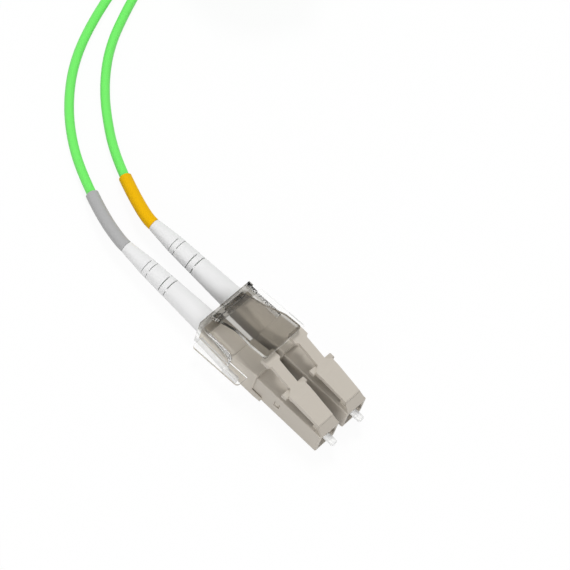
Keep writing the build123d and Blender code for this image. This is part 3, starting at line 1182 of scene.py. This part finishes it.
class Studio:
    """Floor, light and camera."""

    def __init__(self, fit: CameraFit, room: Surroundings) -> None:
        """Keep what the studio is made from.

        Args:
            fit: Camera that matches the photograph.
            room: Floor, sky and lamps.
        """
        self.fit = fit
        self.room = room

    def camera(self) -> None:
        """Make the camera."""
        fit = self.fit
        az, el, roll = (math.radians(value) for value in (fit.azimuth, fit.elevation, fit.roll))
        back = Vector((math.cos(el) * math.cos(az), math.cos(el) * math.sin(az), math.sin(el)))
        right = Vector((0, 0, 1)).cross(back).normalized()
        up = back.cross(right)
        right, up = (
            right * math.cos(roll) + up * math.sin(roll),
            up * math.cos(roll) - right * math.sin(roll),
        )
        pivot = Vector(fit.pivot)
        place = pivot + back * fit.distance
        middle = fit.picture / 2
        across = (middle - fit.pixel[0]) / fit.scale
        above = (fit.pixel[1] - middle) / fit.scale
        aim = pivot + right * across + up * above
        back = (place - aim).normalized()
        right = (right - back * right.dot(back)).normalized()
        up = back.cross(right)
        data = bpy.data.cameras.new("camera")
        data.sensor_width = fit.sensor
        data.lens = fit.sensor * fit.distance * fit.scale / fit.picture
        data.clip_start, data.clip_end = fit.reach
        camera = bpy.data.objects.new("camera", data)
        turn = Matrix((right, up, back)).transposed().to_4x4()
        camera.matrix_world = Matrix.Translation(place * MM) @ turn
        bpy.context.scene.collection.objects.link(camera)
        bpy.context.scene.camera = camera
        LOG.info("camera lens %.1f", data.lens)

    def seen(self, graph: Graph) -> Flow:
        """Whether the background is seen straight, in a mirroring surface or through a clear one.

        Args:
            graph: Graph of the floor or of the sky.

        Returns:
            0 where it only lights, and 1 or more where it is seen.
        """
        straight = graph.node("ShaderNodeLightPath", output="Is Camera Ray")
        return straight + straight.sibling("Is Glossy Ray") + straight.sibling("Is Transmission Ray")

    def floor(self) -> None:
        """Make the white floor, which keeps the shadow, darkest in the gap between the connectors."""
        room = self.room
        half = room.floor_half
        mesh = bpy.data.meshes.new("floor")
        mesh.from_pydata(
            [(-half, -half, 0), (half, -half, 0), (half, half, 0), (-half, half, 0)], [], [(0, 1, 2, 3)]
        )
        floor = bpy.data.objects.new("floor", mesh)
        bpy.context.scene.collection.objects.link(floor)
        material = bpy.data.materials.new("floor_white")
        material.use_nodes = True
        graph = Graph(material.node_tree)
        lit = graph.node("ShaderNodeBsdfDiffuse", {"Color": WHITE})
        glow = graph.node("ShaderNodeEmission", {"Color": WHITE, "Strength": 1.0})
        open_sky = graph.node(
            "ShaderNodeAmbientOcclusion", {"Distance": room.shade_reach * MM}, output="AO",
            samples=room.shade_samples,
        )
        place = graph.node("ShaderNodeTexCoord", output="Object")
        across = graph.node("ShaderNodeSeparateXYZ", {"Vector": place}, output="Y")
        aside = graph.node("ShaderNodeMath", {0: across}, operation="ABSOLUTE")
        outside = graph.ramp(aside, room.gap[0] * MM, room.gap[1] * MM)
        share = graph.ramp(open_sky + outside, *room.openness, *room.glow)
        bright = graph.node("ShaderNodeMixShader", {0: share, 1: lit, 2: glow})
        dim = graph.node("ShaderNodeBsdfDiffuse", {"Color": (room.dim, room.dim, room.dim, 1.0)})
        surface = graph.node("ShaderNodeMixShader", {0: self.seen(graph), 1: dim, 2: bright})
        graph.node("ShaderNodeOutputMaterial", {"Surface": surface})
        mesh.materials.append(material)
        LOG.info("floor")

    def light(self) -> None:
        """Make the sky and the lamps."""
        world = bpy.data.worlds.new("world")
        world.use_nodes = True
        graph = Graph(world.node_tree)
        strength = self.room.sky + (1.0 - self.room.sky) * self.seen(graph)
        sky = graph.node("ShaderNodeBackground", {"Color": WHITE, "Strength": strength})
        graph.node("ShaderNodeOutputWorld", {"Surface": sky})
        bpy.context.scene.world = world
        for lamp in self.room.lamps:
            self.sun(lamp)

    def sun(self, lamp: Lamp) -> None:
        """Make one sun lamp.

        Args:
            lamp: Lamp to make.
        """
        data = bpy.data.lights.new(lamp.name, "SUN")
        data.energy = lamp.energy
        data.angle = math.radians(lamp.spread)
        sun = bpy.data.objects.new(lamp.name, data)
        sun.rotation_mode = "QUATERNION"
        sun.rotation_quaternion = Vector(lamp.travel).to_track_quat("-Z", "Y")
        sun.visible_glossy = lamp.mirrored
        sun.visible_transmission = lamp.mirrored
        bpy.context.scene.collection.objects.link(sun)
        LOG.info("lamp %s", lamp.name)

    def render_settings(self) -> None:
        """Set the picture size, the plain view transform and the light's bounces."""
        scene = bpy.context.scene
        scene.render.engine = "CYCLES"
        scene.render.resolution_x = self.fit.picture
        scene.render.resolution_y = self.fit.picture
        scene.view_settings.view_transform = "Standard"
        scene.cycles.max_bounces = self.room.bounces
        scene.cycles.transmission_bounces = self.room.bounces


class Connector:
    """The whole object: CAD nodes with their finishes and the pieces made here."""

    def __init__(self, frame: dict) -> None:
        """Keep the frame.
        """
        self.frame = frame
        self.book = MaterialBook(FINISHES, DetailMix())
        self.mesher = RingMesher(self.book)
        self.groups = NodeGroupMaker()

    def dress_nodes(self) -> None:
        """Give every CAD node the material of its slot."""
        slots = {item["node"]: item["material_slot"] for item in self.frame["record"]["subparts"]}
        for name, node in self.frame["nodes"].items():
            node.data.materials.clear()
            node.data.materials.append(self.book.materials[slots[name]])
        LOG.info("%d CAD nodes", len(self.frame["nodes"]))

    def make_cords(self) -> None:
        """Make both cords with their sleeves."""
        sizes = CordSizes()
        maker = CordMaker(sizes, Coil(), self.book, self.mesher)
        cords = {run.name: maker.make(run) for run in RUNS}
        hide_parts("cord_coil")
        for run in RUNS:
            sleeve = maker.make_sleeve(run)

    def make_shells(self) -> None:
        """Make the boots and the ferrules."""
        boots = BootMaker(BootSizes(), self.mesher, self.groups)
        ferrules = FerruleMaker(FerruleSizes(), self.mesher)
        for side, sign in (("a", -1.0), ("b", 1.0)):
            y = sign * boots.sizes.pitch / 2
            boots.make(side, y)
            ferrules.make(side, (boots.sizes.front_x, y, boots.sizes.axis_height))


def main() -> None:
    """Build the scene."""
    logging.basicConfig(level=logging.INFO)
    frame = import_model()
    studio = Studio(CameraFit(), Surroundings())
    studio.render_settings()
    studio.camera()
    studio.floor()
    studio.light()
    connector = Connector(frame)
    connector.dress_nodes()
    connector.make_cords()
    connector.make_shells()


if __name__ == "__main__":
    main()
